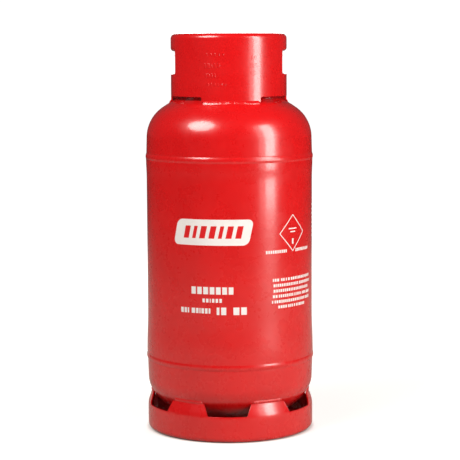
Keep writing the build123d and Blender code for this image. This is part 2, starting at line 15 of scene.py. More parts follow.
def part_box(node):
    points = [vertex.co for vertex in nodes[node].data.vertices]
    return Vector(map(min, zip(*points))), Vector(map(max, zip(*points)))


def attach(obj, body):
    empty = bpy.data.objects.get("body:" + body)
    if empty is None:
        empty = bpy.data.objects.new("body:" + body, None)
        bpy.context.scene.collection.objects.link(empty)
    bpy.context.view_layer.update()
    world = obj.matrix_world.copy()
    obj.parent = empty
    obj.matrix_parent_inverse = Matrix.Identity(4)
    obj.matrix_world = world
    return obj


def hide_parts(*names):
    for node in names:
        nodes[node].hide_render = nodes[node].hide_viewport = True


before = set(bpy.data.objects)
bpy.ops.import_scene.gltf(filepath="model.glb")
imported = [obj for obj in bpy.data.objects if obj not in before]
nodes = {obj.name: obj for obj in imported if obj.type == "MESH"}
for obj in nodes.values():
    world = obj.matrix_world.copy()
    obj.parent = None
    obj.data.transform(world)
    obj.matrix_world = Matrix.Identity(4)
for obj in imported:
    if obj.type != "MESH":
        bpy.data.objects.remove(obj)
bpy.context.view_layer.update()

MM = 0.001
random = np.random.default_rng(19)


# ---------------------------------------------------------------- small tools
def linear(code):
    """An sRGB hex colour as linear red, green, blue and alpha."""
    srgb = np.array([int(code[i : i + 2], 16) for i in (1, 3, 5)]) / 255
    rgb = np.where(srgb <= 0.04045, srgb / 12.92, ((srgb + 0.055) / 1.055) ** 2.4)
    return (*rgb.tolist(), 1.0)


def node_box(name):
    """Lowest and highest corner of a CAD node, in millimetres."""
    return [np.array(corner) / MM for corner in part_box(name)]


def smooth_step(x):
    """0 below 0, 1 above 1, and 3x^2 - 2x^3 between."""
    x = np.clip(x, 0, 1)
    return x * x * (3 - 2 * x)


def around(radius, height, angle):
    """Points at a radius, height and angle from the front: x = r sin a, y = -r cos a."""
    radius, height, angle = np.broadcast_arrays(radius, height, np.radians(angle))
    return np.stack([radius * np.sin(angle), -radius * np.cos(angle), height], -1)


def rounded(corners, radii, step=6.0):
    """A path of straight runs whose corners become arcs: each arc has its radius and touches both of its runs."""
    corners = [np.array(corner, float) for corner in corners]
    path = [corners[0]]
    for before, corner, after, radius in zip(corners, corners[1:], corners[2:], radii):
        u, v = before - corner, after - corner
        u, v = u / np.linalg.norm(u), v / np.linalg.norm(v)
        turn = math.pi - math.acos(np.clip(u @ v, -1, 1))
        centre = corner + (u + v) / np.linalg.norm(u + v) * radius / math.cos(turn / 2)
        start = corner + u * radius * math.tan(turn / 2) - centre
        side = np.sign(-u[0] * v[1] + u[1] * v[0])
        swing = side * np.linspace(0, turn, max(2, math.ceil(math.degrees(turn) / step)) + 1)
        path += list(
            centre
            + np.stack([
                start[0] * np.cos(swing) - start[1] * np.sin(swing),
                start[0] * np.sin(swing) + start[1] * np.cos(swing),
            ], -1)
        )
    return np.array(path + [corners[-1]])


def even(path, step):
    """The same path with extra points, so that no run is longer than step."""
    runs = np.hypot(*np.diff(path, axis=0).T)
    shares = [np.arange(n) / n for n in np.maximum(1, np.ceil(runs / step).astype(int))]
    position = np.concatenate([i + share for i, share in enumerate(shares)] + [[len(path) - 1]])
    return np.stack([np.interp(position, np.arange(len(path)), path[:, k]) for k in range(path.shape[1])], -1)


def inset(path, depth):
    """The path moved sideways by depth, to the left of its direction of travel."""
    slope = np.gradient(path, axis=0)
    slope /= np.linalg.norm(slope, axis=1, keepdims=True)
    return path + depth * np.stack([-slope[:, 1], slope[:, 0]], -1)


def grid_quads(rows, columns, close_rows=False, close_columns=False):
    """Quads of a grid whose vertex (i, j) is number i * columns + j, wrapped round where it is closed."""
    i, j = np.meshgrid(
        np.arange(rows if close_rows else rows - 1),
        np.arange(columns if close_columns else columns - 1),
        indexing="ij",
    )
    i2, j2 = (i + 1) % rows, (j + 1) % columns
    quads = [i * columns + j, i * columns + j2, i2 * columns + j2, i2 * columns + j]
    return np.stack(quads, -1).reshape(-1, 4)


def facing_out(points, quads):
    """Quads of a closed shell turned, if need be, so that the volume they close, a sum of determinants, is positive."""
    a, b, c, d = (points[quads[:, k]] for k in range(4))
    volume = (np.cross(b, c) * a).sum() + (np.cross(c, d) * a).sum()
    return quads if volume > 0 else quads[:, ::-1]


def add_piece(name, points, quads, material, slot, body="vessel", stands_for=(), angle=40, closed=True):
    """One mesh object from points in millimetres. Points that meet are merged, which closes seams and poles."""
    points = np.asarray(points, float).reshape(-1, 3)
    if closed:
        quads = facing_out(points, quads)
    mesh = bpy.data.meshes.new(name)
    mesh.from_pydata(points * MM, [], quads.tolist())
    shell = bmesh.new()
    shell.from_mesh(mesh)
    bmesh.ops.remove_doubles(shell, verts=shell.verts, dist=2e-6)
    shell.to_mesh(mesh)
    shell.free()
    mesh.validate()
    mesh.polygons.foreach_set("use_smooth", np.ones(len(mesh.polygons), bool))
    mesh.set_sharp_from_angle(angle=math.radians(angle))
    mesh.materials.append(material)
    piece = bpy.data.objects.new(name, mesh)
    bpy.context.scene.collection.objects.link(piece)
    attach(piece, body)
    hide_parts(*stands_for)
    return piece


# ---------------------------------------------------------------- materials
def new_material(name):
    """A fresh material with its node tree and its principled shader."""
    material = bpy.data.materials.new(name)
    material.use_nodes = True
    return material, material.node_tree, material.node_tree.nodes["Principled BSDF"]


def add_node(tree, kind, links=None, **settings):
    """Adds a node. Settings named in lower case are its properties, other settings and all links are its sockets."""
    node = tree.nodes.new(kind)
    for key, value in settings.items():
        if hasattr(node, key):
            setattr(node, key, value)
    for key, value in settings.items():
        if not hasattr(node, key):
            node.inputs[int(key[1:]) if key[1:].isdigit() else key.replace("_", " ")].default_value = value
    for key, source in (links or {}).items():
        tree.links.new(source, node.inputs[key])
    return node


def object_place(tree):
    """Object coordinates in metres, so that every pattern keeps its real size."""
    return add_node(tree, "ShaderNodeTexCoord").outputs["Object"]


def make_enamel(name, peel_bump):
    """Sprayed and stoved red gloss enamel on steel. The eye sees an even, deep signal red with a wet gloss that
    breaks up slightly over a fine orange peel, a shade lighter where the coat is thin, and a few dull rubs."""
    material, tree, shader = new_material(name)
    place = object_place(tree)
    cloud = add_node(tree, "ShaderNodeTexNoise", {"Vector": place}, Scale=14.0, Detail=3.0, Roughness=0.5)
    tone = add_node(tree, "ShaderNodeValToRGB", {"Fac": cloud.outputs["Fac"]})
    tone.color_ramp.elements[0].position, tone.color_ramp.elements[1].position = 0.3, 0.72
    tone.color_ramp.elements[0].color = linear("#D50D10")
    tone.color_ramp.elements[1].color = linear("#DD1013")
    tree.links.new(tone.outputs["Color"], shader.inputs["Base Color"])
    # orange peel: waves about 2.5 mm apart, the real ones are near 1.5 mm and would not show
    peel = add_node(tree, "ShaderNodeTexNoise", {"Vector": place}, Scale=400.0, Detail=1.5, Roughness=0.45)
    bump = add_node(tree, "ShaderNodeBump", {"Height": peel.outputs["Fac"]}, Strength=peel_bump, Distance=0.0004)
    tree.links.new(bump.outputs["Normal"], shader.inputs["Normal"])
    # dull rubs from handling, patches some 30 mm across
    rubs = add_node(tree, "ShaderNodeTexNoise", {"Vector": place}, Scale=34.0, Detail=5.0, Roughness=0.62)
    gloss = add_node(
        tree, "ShaderNodeMapRange", {"Value": rubs.outputs["Fac"]},
        From_Min=0.42, From_Max=0.75, To_Min=0.26, To_Max=0.36,
    )
    tree.links.new(gloss.outputs["Result"], shader.inputs["Roughness"])
    shader.inputs["IOR"].default_value = 1.5
    shader.inputs["Specular IOR Level"].default_value = 0.5
    shader.inputs["Coat Weight"].default_value = 0.7
    shader.inputs["Coat Roughness"].default_value = 0.12
    return material


red_enamel = make_enamel("stoved_red_enamel", 0.16)
red_enamel_on_weld = make_enamel("stoved_red_enamel_over_weld", 0.28)


def make_metal(name, dark, light, rough, grain_scale, grain_stretch, bump_strength):
    """Bare metal. Fine noise, stretched along one axis for tool marks, drives roughness and bump, and broad noise the
    stain of its colour."""
    material, tree, shader = new_material(name)
    place = add_node(tree, "ShaderNodeMapping", {"Vector": object_place(tree)})
    place.inputs["Scale"].default_value = grain_stretch
    grain = add_node(
        tree, "ShaderNodeTexNoise", {"Vector": place.outputs["Vector"]}, Scale=grain_scale, Detail=4.0, Roughness=0.6
    )
    stain = add_node(tree, "ShaderNodeTexNoise", {"Vector": object_place(tree)}, Scale=90.0, Detail=3.0)
    tone = add_node(tree, "ShaderNodeValToRGB", {"Fac": stain.outputs["Fac"]})
    tone.color_ramp.elements[0].position, tone.color_ramp.elements[1].position = 0.3, 0.7
    tone.color_ramp.elements[0].color, tone.color_ramp.elements[1].color = linear(dark), linear(light)
    tree.links.new(tone.outputs["Color"], shader.inputs["Base Color"])
    spread = add_node(
        tree, "ShaderNodeMapRange", {"Value": grain.outputs["Fac"]},
        From_Min=0.3, From_Max=0.7, To_Min=rough[0], To_Max=rough[1],
    )
    tree.links.new(spread.outputs["Result"], shader.inputs["Roughness"])
    bump = add_node(tree, "ShaderNodeBump", {"Height": grain.outputs["Fac"]}, Strength=bump_strength, Distance=0.0002)
    tree.links.new(bump.outputs["Normal"], shader.inputs["Normal"])
    shader.inputs["Metallic"].default_value = 1.0
    return material


# hot-forged brass, shot-blasted: a dull yellow with a fine sandy skin
forged_brass = make_metal("forged_brass", "#A98A48", "#C9A963", (0.34, 0.5), 1400.0, (1, 1, 1), 0.5)
# turned brass bar: brighter, with level rings left by the tool
turned_brass = make_metal("turned_brass", "#C2A052", "#DCBD74", (0.2, 0.34), 900.0, (0.2, 0.2, 3.0), 0.3)
# zinc-plated steel: bluish grey, satin
zinc_plate = make_metal("zinc_plated_steel", "#9A9DA1", "#C4C7CA", (0.26, 0.42), 700.0, (1, 1, 1), 0.2)


def make_moulded(name, dark, light, rough, texture_scale, bump_strength, ior=1.5):
    """A moulded polymer: an even colour, with a spark-eroded or soft skin given by fine noise as bump."""
    material, tree, shader = new_material(name)
    place = object_place(tree)
    skin = add_node(tree, "ShaderNodeTexNoise", {"Vector": place}, Scale=texture_scale, Detail=2.0, Roughness=0.55)
    cloud = add_node(tree, "ShaderNodeTexNoise", {"Vector": place}, Scale=70.0, Detail=2.0)
    tone = add_node(tree, "ShaderNodeValToRGB", {"Fac": cloud.outputs["Fac"]})
    tone.color_ramp.elements[0].color, tone.color_ramp.elements[1].color = linear(dark), linear(light)
    tree.links.new(tone.outputs["Color"], shader.inputs["Base Color"])
    spread = add_node(
        tree, "ShaderNodeMapRange", {"Value": skin.outputs["Fac"]}, To_Min=rough[0], To_Max=rough[1]
    )
    tree.links.new(spread.outputs["Result"], shader.inputs["Roughness"])
    bump = add_node(tree, "ShaderNodeBump", {"Height": skin.outputs["Fac"]}, Strength=bump_strength, Distance=0.0002)
    tree.links.new(bump.outputs["Normal"], shader.inputs["Normal"])
    shader.inputs["IOR"].default_value = ior
    return material


# glass-filled nylon, moulded in a spark-eroded tool: black, matt, slightly grainy
black_nylon = make_moulded("black_glass_filled_nylon", "#17181A", "#222326", (0.42, 0.6), 1600.0, 0.5)
# soft low-density polyethylene cap: red, waxy
waxy_cap = make_moulded("red_polyethylene", "#B5161B", "#C91D20", (0.3, 0.42), 500.0, 0.15, 1.51)
# nitrile rubber: near black, dull
nitrile = make_moulded("nitrile_rubber", "#101010", "#1C1C1C", (0.6, 0.75), 900.0, 0.2, 1.52)
# sintered PTFE: milky white, waxy
ptfe = make_moulded("sintered_ptfe", "#DAD9D2", "#ECEBE6", (0.34, 0.46), 700.0, 0.1, 1.36)
# screen-printed ink: an opaque white film, satin
white_ink = make_moulded("screen_printed_white_ink", "#EFE9E6", "#F8F5F3", (0.32, 0.44), 800.0, 0.12)
# the same ink in red, over the white
red_ink = make_moulded("screen_printed_red_ink", "#D8161C", "#E21B20", (0.3, 0.4), 800.0, 0.12)


# ---------------------------------------------------------------- pressure vessel
BARREL_BOTTOM, BARREL_TOP = (corner[2] for corner in node_box("barrel"))
UPPER_LIP_Z = node_box("upper_end")[0][2]
LOWER_LIP_Z = node_box("lower_end")[1][2]
floor_z = node_box("foot_ring")[0][2]

SHEET = 3.0
BARREL = 159.0
# mouths of the barrel, and how far along it each swage runs
BOTTOM_MOUTH, TOP_MOUTH = 161.0, 160.0
BOTTOM_SWAGE, TOP_SWAGE = 92, 42
# dished upper end
UPPER_TANGENT, UPPER_RADIUS, KNUCKLE, CROWN = 562.0, 158.4, 70.0, 225.0
KNUCKLE_R = UPPER_RADIUS - KNUCKLE
CROWN_Z = UPPER_TANGENT - math.sqrt((CROWN - KNUCKLE) ** 2 - KNUCKLE_R**2)
# elliptical lower end
LOWER_TANGENT, LOWER_RADIUS, LOWER_DROP = 101.0, 159.0, 88.0
# (radius, height) where the step from each end's lip, which lies inside the barrel, begins and ends
UPPER_LAP, UPPER_STEP = (156.7, 524.0), (159.3, 531.0)
LOWER_LAP, LOWER_STEP = (157.7, 144.5), (160.2, 137.5)


def swage(start, end, count=14):
    """Half of a swaged barrel end: a cubic curve of (radius, height) whose ends are upright."""
    share = np.linspace(0, 1, count)[:, None]
    middle = (start[1] + end[1]) / 2
    controls = np.array([start, (start[0], middle), (end[0], middle), end], float)
    weights = np.hstack([(1 - share) ** 3, 3 * share * (1 - share) ** 2, 3 * share**2 * (1 - share), share**3])
    return weights @ controls


barrel_skin = np.vstack([
    swage((BOTTOM_MOUTH, BARREL_BOTTOM), (BARREL, BARREL_BOTTOM + BOTTOM_SWAGE)),
    even(np.array([[BARREL, BARREL_BOTTOM + BOTTOM_SWAGE], [BARREL, BARREL_TOP - TOP_SWAGE]]), 12.0)[1:-1],
    swage((BARREL, BARREL_TOP - TOP_SWAGE), (TOP_MOUTH, BARREL_TOP)),
])


def elliptical_skin(tangent, radius, rise, count=60):
    """Half an ellipse of (radius, height) from its widest point to the pole: r = R cos t, z = tangent + H sin t."""
    t = np.linspace(0, math.pi / 2, count)
    return np.stack([radius * np.cos(t), tangent + rise * np.sin(t)], -1)


def dished_skin(inset, inner_radius):
    """Knuckle and crown of the upper end as (radius, height): two arcs, each with its radius less by inset, that share
    a tangent where they meet. They run from the widest point in to inner_radius."""
    join = math.atan2(UPPER_TANGENT - CROWN_Z, KNUCKLE_R)
    t = np.linspace(0, join, 22)
    u = np.linspace(join, math.acos(inner_radius / (CROWN - inset)), 40)[1:]
    knuckle, crown = KNUCKLE - inset, CROWN - inset
    return np.vstack([
        np.stack([KNUCKLE_R + knuckle * np.cos(t), UPPER_TANGENT + knuckle * np.sin(t)], -1),
        np.stack([crown * np.cos(u), CROWN_Z + crown * np.sin(u)], -1),
    ])


BOSS_HOLE = 24.0
dished_outer = dished_skin(0.0, BOSS_HOLE)


def upper_end_z(radius):
    """Height of the upper end's skin at a radius."""
    return np.interp(radius, dished_outer[::-1, 0], dished_outer[::-1, 1])


def lower_end_r(height):
    """Radius of the lower end's skin at a height, from the ellipse."""
    return LOWER_RADIUS * np.sqrt(1 - ((LOWER_TANGENT - np.asarray(height)) / LOWER_DROP) ** 2)


def barrel_r(height):
    """Radius of the barrel's skin at a height."""
    return np.interp(height, barrel_skin[:, 1], barrel_skin[:, 0])


def turned(outline, columns=384):
    """A closed outline of (radius, height) points carried once round the vessel's axis: points and quads."""
    angles = np.arange(columns) * 360 / columns
    points = around(outline[:, :1], outline[:, 1:], angles[None])
    return points.reshape(-1, 3), grid_quads(len(outline), columns, True, True)


def two_skins(outer, inner):
    """Closed outline from an outer skin and an inner skin that run the same way."""
    return np.vstack([outer, inner[::-1]])


add_piece(
    "barrel_shell",
    *turned(two_skins(barrel_skin, barrel_skin - (SHEET, 0))),
    red_enamel, "red_enamel", stands_for=["barrel"],
)

def end_skin(lip_z, lap, step, crown):
    """One skin of a pressed end: the lip inside the barrel, the step out of it, the straight skirt, then the crown."""
    return np.vstack([[(lap[0], lip_z), lap, step], even(np.array([step, crown[0]]), 6.0)[1:-1], crown])


add_piece(
    "upper_end_shell",
    *turned(two_skins(
        end_skin(UPPER_LIP_Z, UPPER_LAP, UPPER_STEP, dished_outer),
        end_skin(
            UPPER_LIP_Z, (UPPER_LAP[0] - SHEET, UPPER_LAP[1] + 0.5), (UPPER_STEP[0] - SHEET, UPPER_STEP[1]),
            dished_skin(SHEET, BOSS_HOLE),
        ),
    )),
    red_enamel, "red_enamel", stands_for=["upper_end"],
)
add_piece(
    "lower_end_shell",
    *turned(two_skins(
        end_skin(LOWER_LIP_Z, LOWER_LAP, LOWER_STEP, elliptical_skin(LOWER_TANGENT, LOWER_RADIUS, -LOWER_DROP)),
        end_skin(
            LOWER_LIP_Z, (LOWER_LAP[0] - SHEET, LOWER_LAP[1] - 0.5), (LOWER_STEP[0] - SHEET, LOWER_STEP[1]),
            elliptical_skin(LOWER_TANGENT, LOWER_RADIUS - SHEET, SHEET - LOWER_DROP),
        ),
    )),
    red_enamel, "red_enamel", stands_for=["lower_end"],
)


# ---------------------------------------------------------------- weld beads
def weld_bead(toe_a, toe_b, root, rise, ripple=0.16, pitch=2.4, wander=0.0, closed=False, taper=4.0):
    """A bead along three rows of points. Across it: from toe to toe, raised by rise sin(pi s) away from the root.
    Along it: crescent ripples, ripple sin(pi s) cos(2 pi (l / pitch - 0.8 sin(pi s))), with l the length along it,
    and a slow wander of its size. An open bead shrinks to its root at both ends as the root of a smooth step."""
    mid = (toe_a + toe_b) / 2
    ahead = np.roll(mid, -1, 0) - mid if closed else np.gradient(mid, axis=0)
    length = np.concatenate([[0], np.cumsum(np.linalg.norm(np.diff(mid, axis=0), axis=1))])
    out = np.cross(ahead, toe_b - toe_a)
    out *= np.sign((out * (mid - root)).sum(1))[:, None]
    out /= np.linalg.norm(out, axis=1, keepdims=True)
    whole = length[-1] + (np.linalg.norm(mid[0] - mid[-1]) if closed else 0)
    turns = round(whole / pitch) if closed else whole / pitch
    phase = length / whole * turns
    waves = sum(
        np.sin(2 * math.pi * (count * length / whole + shift))
        for count, shift in zip((7, 13, 23, 41), random.random(4))
    )
    s = np.linspace(0, 1, 9)
    arch = np.sin(math.pi * s)
    height = rise * arch + ripple * arch * np.cos(2 * math.pi * (phase[:, None] - 0.8 * arch)) + (
        wander * arch * waves[:, None] / 2
    )
    face = toe_a[:, None] + (toe_b - toe_a)[:, None] * s[:, None] + out[:, None] * height[..., None]
    points = np.concatenate([face, root[:, None]], 1)
    if not closed:
        full = np.sqrt(smooth_step(length / taper) * smooth_step((whole - length) / taper))
        points = root[:, None] + (points - root[:, None]) * full[:, None, None]
    return points.reshape(-1, 3), grid_quads(len(points), points.shape[1], closed, True)


def joined(parts):
    """Several shells as one set of points and quads."""
    starts = np.cumsum([0] + [len(points) for points, _ in parts[:-1]])
    return np.vstack([points for points, _ in parts]), np.vstack([quads + k for (_, quads), k in zip(parts, starts)])


GIRTH_COLUMNS = 2600
around_once = np.arange(GIRTH_COLUMNS) * 360 / GIRTH_COLUMNS
# (radius, height) of each round weld's toe on the barrel, toe on the end, and root
for name, weld, toes_and_root, rise in (
    ("upper_girth_bead", "upper_girth_weld", ((160.05, 521.8), (159.3, 533.0), (157.2, 527.0)), 1.15),
    ("lower_girth_bead", "lower_girth_weld", ((161.05, 146.7), (160.2, 135.4), (158.6, 141.0)), 1.2),
):
    rows = [around(radius, height, around_once) for radius, height in toes_and_root]
    add_piece(
        name, *weld_bead(*rows, rise, ripple=0.05, wander=0.08, closed=True), red_enamel, "red_enamel",
        stands_for=[weld],
    )


def upright_bead(wall, angle, bottom, top, width=7.0, rise=0.9):
    """A straight bead up a round wall. Its root lies just under the wall's skin."""
    z = np.arange(bottom, top + 0.01, 0.4)
    half = math.degrees(width / 2 / wall)
    return weld_bead(
        around(wall + 0.02, z, angle - half), around(wall + 0.02, z, angle + half), around(wall - 0.6, z, angle),
        rise, wander=0.08,
    )


add_piece(
    "barrel_seam_bead", *upright_bead(BARREL, 215.0, BARREL_BOTTOM + BOTTOM_SWAGE, BARREL_TOP - TOP_SWAGE),
    red_enamel_on_weld, "red_enamel", stands_for=["barrel_seam_weld"],
)
add_piece(
    "foot_seam_bead", *upright_bead(160.0, 178.0, 10.5, 37.0), red_enamel_on_weld, "red_enamel",
    stands_for=["foot_ring_seam_weld"],
)

# ---------------------------------------------------------------- foot ring
FOOT_SHEET = 2.5
FOOT_R, LIP_R, LAND_R = 160.0, 143.0, 152.5
FOOT_TOP, FOOT_BEND, FOOT_BLEND, EDGE_ROUND = 71.0, 49.5, 40.0, 0.8
NOTCHES, NOTCH_TURN, NOTCH_FLOOR = 6, -2.0, 49.0
NOTCH_PITCH = 360.0 / NOTCHES
# half widths of a notch along its floor and at the ring's top edge
NOTCH_HALF, NOTCH_MOUTH_HALF = 37.25, 44.0

foot_outer = even(rounded([(LIP_R, 0), (FOOT_R, 0), (FOOT_R, FOOT_BEND), (LAND_R, FOOT_TOP)], (9, 45)), 3.0)
foot_inner = inset(foot_outer, FOOT_SHEET)
notch_outline = even(
    rounded(
        [(0, NOTCH_FLOOR), (NOTCH_HALF, NOTCH_FLOOR), (NOTCH_MOUTH_HALF, FOOT_TOP), (60, FOOT_TOP)], (3.2, 1.6), 12.0
    ),
    2.2,
)
# a notch is cut square to its own radius, so its width is a chord: angle = asin(width / radius)
notch_angle = np.degrees(
    np.arcsin(notch_outline[:, 0] / np.interp(notch_outline[:, 1], foot_outer[-12:, 1], foot_outer[-12:, 0]))
)
kept = notch_angle < 17.4
notch_angle, notch_top = notch_angle[kept], notch_outline[kept, 1]
half_turn = np.concatenate([notch_angle, np.linspace(notch_angle[-1], NOTCH_PITCH / 2, 11)[1:]])
one_notch = np.concatenate([-half_turn[:0:-1], half_turn[:-1]])
foot_columns = (NOTCH_TURN + NOTCH_PITCH * np.arange(NOTCHES)[:, None] + one_notch).ravel()
foot_tops = np.tile(np.interp(np.abs(one_notch), notch_angle, notch_top), NOTCHES)


def foot_section(tops):
    """One closed section for each column. The skin below FOOT_BLEND is fixed. Above it, heights run evenly to that
    column's top, where a rounded edge joins the outer and the inner skin. The inturned lip ends in the same way."""
    low = foot_outer[:, 1] < FOOT_BLEND
    upper = FOOT_BLEND + np.linspace(0, 1, 14)[:, None] * (tops - EDGE_ROUND - FOOT_BLEND)
    swing = np.linspace(0, math.pi, 9)
    bulge = np.sign(np.cos(swing)) * np.abs(np.cos(swing)) ** 0.6, np.sin(swing) ** 0.6
    outer_r = np.interp(upper, foot_outer[~low, 1], foot_outer[~low, 0])
    inner_low = foot_inner[low]
    inner_r = np.interp(upper, foot_inner[~low, 1], foot_inner[~low, 0])
    mid, half = (outer_r[-1] + inner_r[-1]) / 2, (outer_r[-1] - inner_r[-1]) / 2
    edge_r = mid + half * bulge[0][:, None]
    edge_z = upper[-1] + EDGE_ROUND * bulge[1][:, None]
    lip_r = foot_outer[0, 0] + EDGE_ROUND - EDGE_ROUND * bulge[1][1:-1]
    lip_z = FOOT_SHEET / 2 + FOOT_SHEET / 2 * bulge[0][1:-1]

    def fixed(column):
        return np.repeat(column[:, None], len(tops), 1)

    radius = np.vstack([
        fixed(foot_outer[low, 0]), outer_r, edge_r[1:-1], inner_r[::-1], fixed(inner_low[::-1, 0]), fixed(lip_r)
    ])
    height = np.vstack([
        fixed(foot_outer[low, 1]), upper, edge_z[1:-1], upper[::-1], fixed(inner_low[::-1, 1]), fixed(lip_z)
    ])
    return radius, height


foot_r, foot_z = foot_section(foot_tops)
add_piece(
    "foot_ring_band",
    around(foot_r, foot_z + floor_z, foot_columns[None]).reshape(-1, 3),
    grid_quads(*foot_r.shape, True, True),
    red_enamel, "red_enamel", stands_for=["foot_ring"], angle=50,
)

LAND_BEAD_HALF, LAND_TOE_Z = 12.2, 76.8
land_beads = []
for land in NOTCH_TURN + NOTCH_PITCH * (np.arange(NOTCHES) + 0.5):
    arc = np.arange(land - LAND_BEAD_HALF, land + LAND_BEAD_HALF, 0.15)
    land_beads.append(
        weld_bead(
            around(152.4, FOOT_TOP + 0.1, arc), around(lower_end_r(LAND_TOE_Z) + 0.1, LAND_TOE_Z, arc),
            around(150.6, FOOT_TOP + 0.4, arc), 0.8, ripple=0.25, wander=0.3,
        )
    )
add_piece(
    "foot_land_beads", *joined(land_beads), red_enamel_on_weld, "red_enamel", stands_for=["foot_ring_welds"]
)

# ---------------------------------------------------------------- valve shroud
WALL, RIM_R, SHROUD_SHEET = 110.8, 93.8, 3.0
FOOT_Z, RIM_Z = (corner[2] for corner in node_box("valve_shroud"))
FEET, FEET_TURN, FOOT_HALF, OPENING_HALF = 3, 2.5, 29.2, 30
GAP_Z, GRIP_Z, BEND_Z = 642.0, 683.0, 733.0
# radius of the edge curled inwards over the grips and the window
CURL = 6.5
CURL_LENGTH = CURL * math.pi / 2 + 2.0
CUT_Z = BEND_Z - CURL_LENGTH
CORNER, GAP_CORNER = 6.0, 3.5
# openings as (middle angle, half width along the wall, bottom, top) of the flat sheet, some open past the feet
per_degree = WALL * math.pi / 180
PAST_FEET = FOOT_Z - 50
grips = [(angle, 24 * per_degree, GRIP_Z, CUT_Z) for angle in (90.0, 270.0)]
window = (FEET_TURN + 180, OPENING_HALF * per_degree, PAST_FEET, CUT_Z)
gaps = [(FEET_TURN + turn, OPENING_HALF * per_degree, PAST_FEET, GAP_Z) for turn in (60, 300)]
openings = grips + [window] + gaps

rim_path = even(rounded([(WALL, FOOT_Z), (WALL, RIM_Z), (RIM_R, RIM_Z), (RIM_R, 749.0)], (10.0, 6.5), 9.0), 3.0)


def spaced(breaks, step):
    """Ordered values that hold every break, with runs of about step between."""
    breaks = np.unique(np.round(breaks, 6))
    return np.concatenate(
        [np.linspace(a, b, max(1, round((b - a) / step)) + 1)[:-1] for a, b in zip(breaks, breaks[1:])]
        + [breaks[-1:]]
    )


edges = [middle * per_degree + side * half for middle, half, _, _ in openings for side in (-1, 1)]
near = [edge + shift for edge in edges for shift in (-12, -6, 6, 12)]
round_wall = 360 * per_degree
# cells are CELL wide, 1 mm near an opening's edge, and never under CLOSEST
CELL, CLOSEST, WALL_TOP = 2.6, 0.35, 750.0


def thinned(values):
    """The different values in order, less those nearer than CLOSEST to the one before."""
    values = np.unique(np.round(values, 4))
    return values[np.concatenate([[True], np.diff(values) > CLOSEST])]


columns = thinned(np.concatenate(
    [spaced([0, round_wall] + edges + near, CELL)[:-1]] + [np.linspace(edge - 12, edge + 12, 25) for edge in edges]
))
heights = thinned(np.concatenate(
    [spaced([FOOT_Z, GAP_Z, GRIP_Z, CUT_Z, BEND_Z, WALL_TOP], CELL)]
    + [np.linspace(z - 9, z + 9, 19) for z in (GRIP_Z, CUT_Z)] + [np.linspace(GAP_Z - 6, GAP_Z + 8, 15)]
))


def snapped(values, targets):
    """Values whose nearest neighbour to each target is that target, so that cells end on an opening's edge."""
    values = values.copy()
    for target in targets:
        values[np.abs(values - target).argmin()] = target
    return values


columns = snapped(columns, edges)
heights = snapped(heights, [FOOT_Z, GAP_Z, GRIP_Z, CUT_Z, BEND_Z])
flat_x, flat_z = np.meshgrid(columns, heights)


def round_corner(x, z, corner_x, corner_z, into_x, into_z, radius=CORNER, reach=11.0):
    """Moves sheet near an opening's sharp corner onto a round one. a and b run into the opening from the corner. A
    point t = max(a, b) along an edge goes to the arc r (1 - sin f, 1 - cos f), with f = 45 (1 - t / r) degrees, and
    what lies behind that edge follows it less and less, as the square of 1 - distance / reach."""
    a, b = (x - corner_x) * into_x, (z - corner_z) * into_z
    near_a = a >= b
    t = np.clip(np.maximum(a, b), 0, radius)
    back = np.where(near_a, -b, -a)
    back = np.where(np.maximum(a, b) < 0, np.hypot(a, b), np.maximum(back, 0))
    f = math.pi / 4 * (1 - t / radius)
    along, across = radius * (1 - np.sin(f)) - t, radius * (1 - np.cos(f))
    share = np.clip(1 - back / reach, 0, 1) ** 2 * (np.maximum(a, b) < radius)
    move_a = np.where(near_a, along, across) * share
    move_b = np.where(near_a, across, along) * share
    inside = (a > 1e-6) & (b > 1e-6)
    move_a, move_b = np.where(inside, 0, move_a), np.where(inside, 0, move_b)
    return move_a * into_x, move_b * into_z


moved_x, moved_z = flat_x.copy(), flat_z.copy()
for middle, half, bottom, top in openings:
    for side in (-1, 1):
        corner_x = middle * per_degree + side * half
        for corner_z, into_z in ((top, -1), (bottom, 1)):
            radius = CORNER if top != GAP_Z else GAP_CORNER
            dx, dz = round_corner(flat_x, flat_z, corner_x, corner_z, -side, into_z, radius)
            moved_x += dx
            moved_z += dz


def curl_share(x):
    """How far the edge over an opening is curled at this place: 1 over its middle, 0 at its ends, smooth between."""
    share = np.zeros_like(x)
    for middle, half, _, _ in grips + [window]:
        share = np.maximum(share, smooth_step((half - np.abs(x - middle * per_degree) + 0.5) / 13.0))
    return share


# the sheet below BEND_Z over an opening rolls in along an arc of radius CURL / curl_share, then runs on straight
below_bend = np.clip(BEND_Z - moved_z, 0, CURL_LENGTH)
curvature = np.maximum(curl_share(moved_x) / CURL, 1e-5)
arc_length = np.minimum(below_bend, CURL * math.pi / 2)
swing = curvature * arc_length
past = below_bend - arc_length
inward = (1 - np.cos(swing)) / curvature + past * np.sin(swing)
drop = np.sin(swing) / curvature + past * np.cos(swing)
over_opening = np.zeros_like(flat_x, bool)
for middle, half, _, _ in grips + [window]:
    over_opening |= np.abs(flat_x - middle * per_degree) <= half + 0.01
over_opening &= flat_z >= CUT_Z - 0.01
wall_r = np.where(over_opening, WALL - inward, WALL)
wall_z = np.where(over_opening & (below_bend > 0), BEND_Z - drop, moved_z)

rim = rim_path[np.argmax(rim_path[:, 1] > heights[-1] + 0.01) :]
rim_r = np.repeat(rim[:, :1], len(columns), 1)
rim_z = np.repeat(rim[:, 1:], len(columns), 1)
shroud_r, shroud_z = np.vstack([wall_r, rim_r]), np.vstack([wall_z, rim_z])
shroud_x = np.vstack([moved_x, np.repeat(columns[None], len(rim), 0)])

